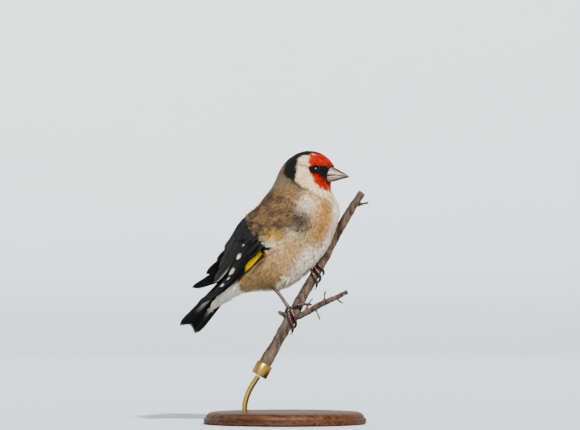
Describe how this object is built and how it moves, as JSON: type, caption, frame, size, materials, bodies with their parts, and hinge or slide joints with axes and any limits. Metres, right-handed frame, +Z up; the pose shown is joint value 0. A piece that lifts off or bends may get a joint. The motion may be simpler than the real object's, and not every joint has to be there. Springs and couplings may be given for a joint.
{
  "type": "european goldfinch",
  "caption": "Still, life-size European goldfinch with red face and yellow wing bar, gripping a cut stem held by a bent rod on a turned wooden base",
  "frame": {"origin": "centre of the underside of the round base", "axes": "+X the way the bird faces, +Y its left side, +Z up"},
  "size_m": [0.1032, 0.088, 0.1478],
  "materials": {
    "plumage": "matte",
    "flight_feathers": "satin",
    "bill_horn": "satin",
    "claw_horn": "satin",
    "eye_dark": "gloss",
    "leg_skin": "satin",
    "bark": "rough",
    "base_wood": "satin",
    "brass": "satin"
  },
  "bodies": {
    "root": {"head": "plumage", "neck": "plumage", "trunk": "plumage", "rump": "plumage", "tail": "flight_feathers", "thigh_right": "plumage", "bill_upper": "bill_horn", "bill_lower": "bill_horn", "eye_right": "eye_dark", "eye_left": "eye_dark", "tarsus_right": "leg_skin", "tarsus_left": "leg_skin", "perch": "bark", "stand_sleeve": "brass", "stand_rod": "brass", "stand_base": "base_wood", "wing_right_coverts": "plumage", "wing_right_secondaries": "flight_feathers", "wing_right_primaries": "flight_feathers", "toe_right_inner": "leg_skin", "claw_right_inner": "claw_horn", "toe_right_middle": "leg_skin", "claw_right_middle": "claw_horn", "toe_right_outer": "leg_skin", "claw_right_outer": "claw_horn", "toe_right_hind": "leg_skin", "claw_right_hind": "claw_horn", "wing_left_coverts": "plumage", "wing_left_secondaries": "flight_feathers", "wing_left_primaries": "flight_feathers", "toe_left_inner": "leg_skin", "claw_left_inner": "claw_horn", "toe_left_middle": "leg_skin", "claw_left_middle": "claw_horn", "toe_left_outer": "leg_skin", "claw_left_outer": "claw_horn", "toe_left_hind": "leg_skin", "claw_left_hind": "claw_horn"}
  },
  "joints": []
}
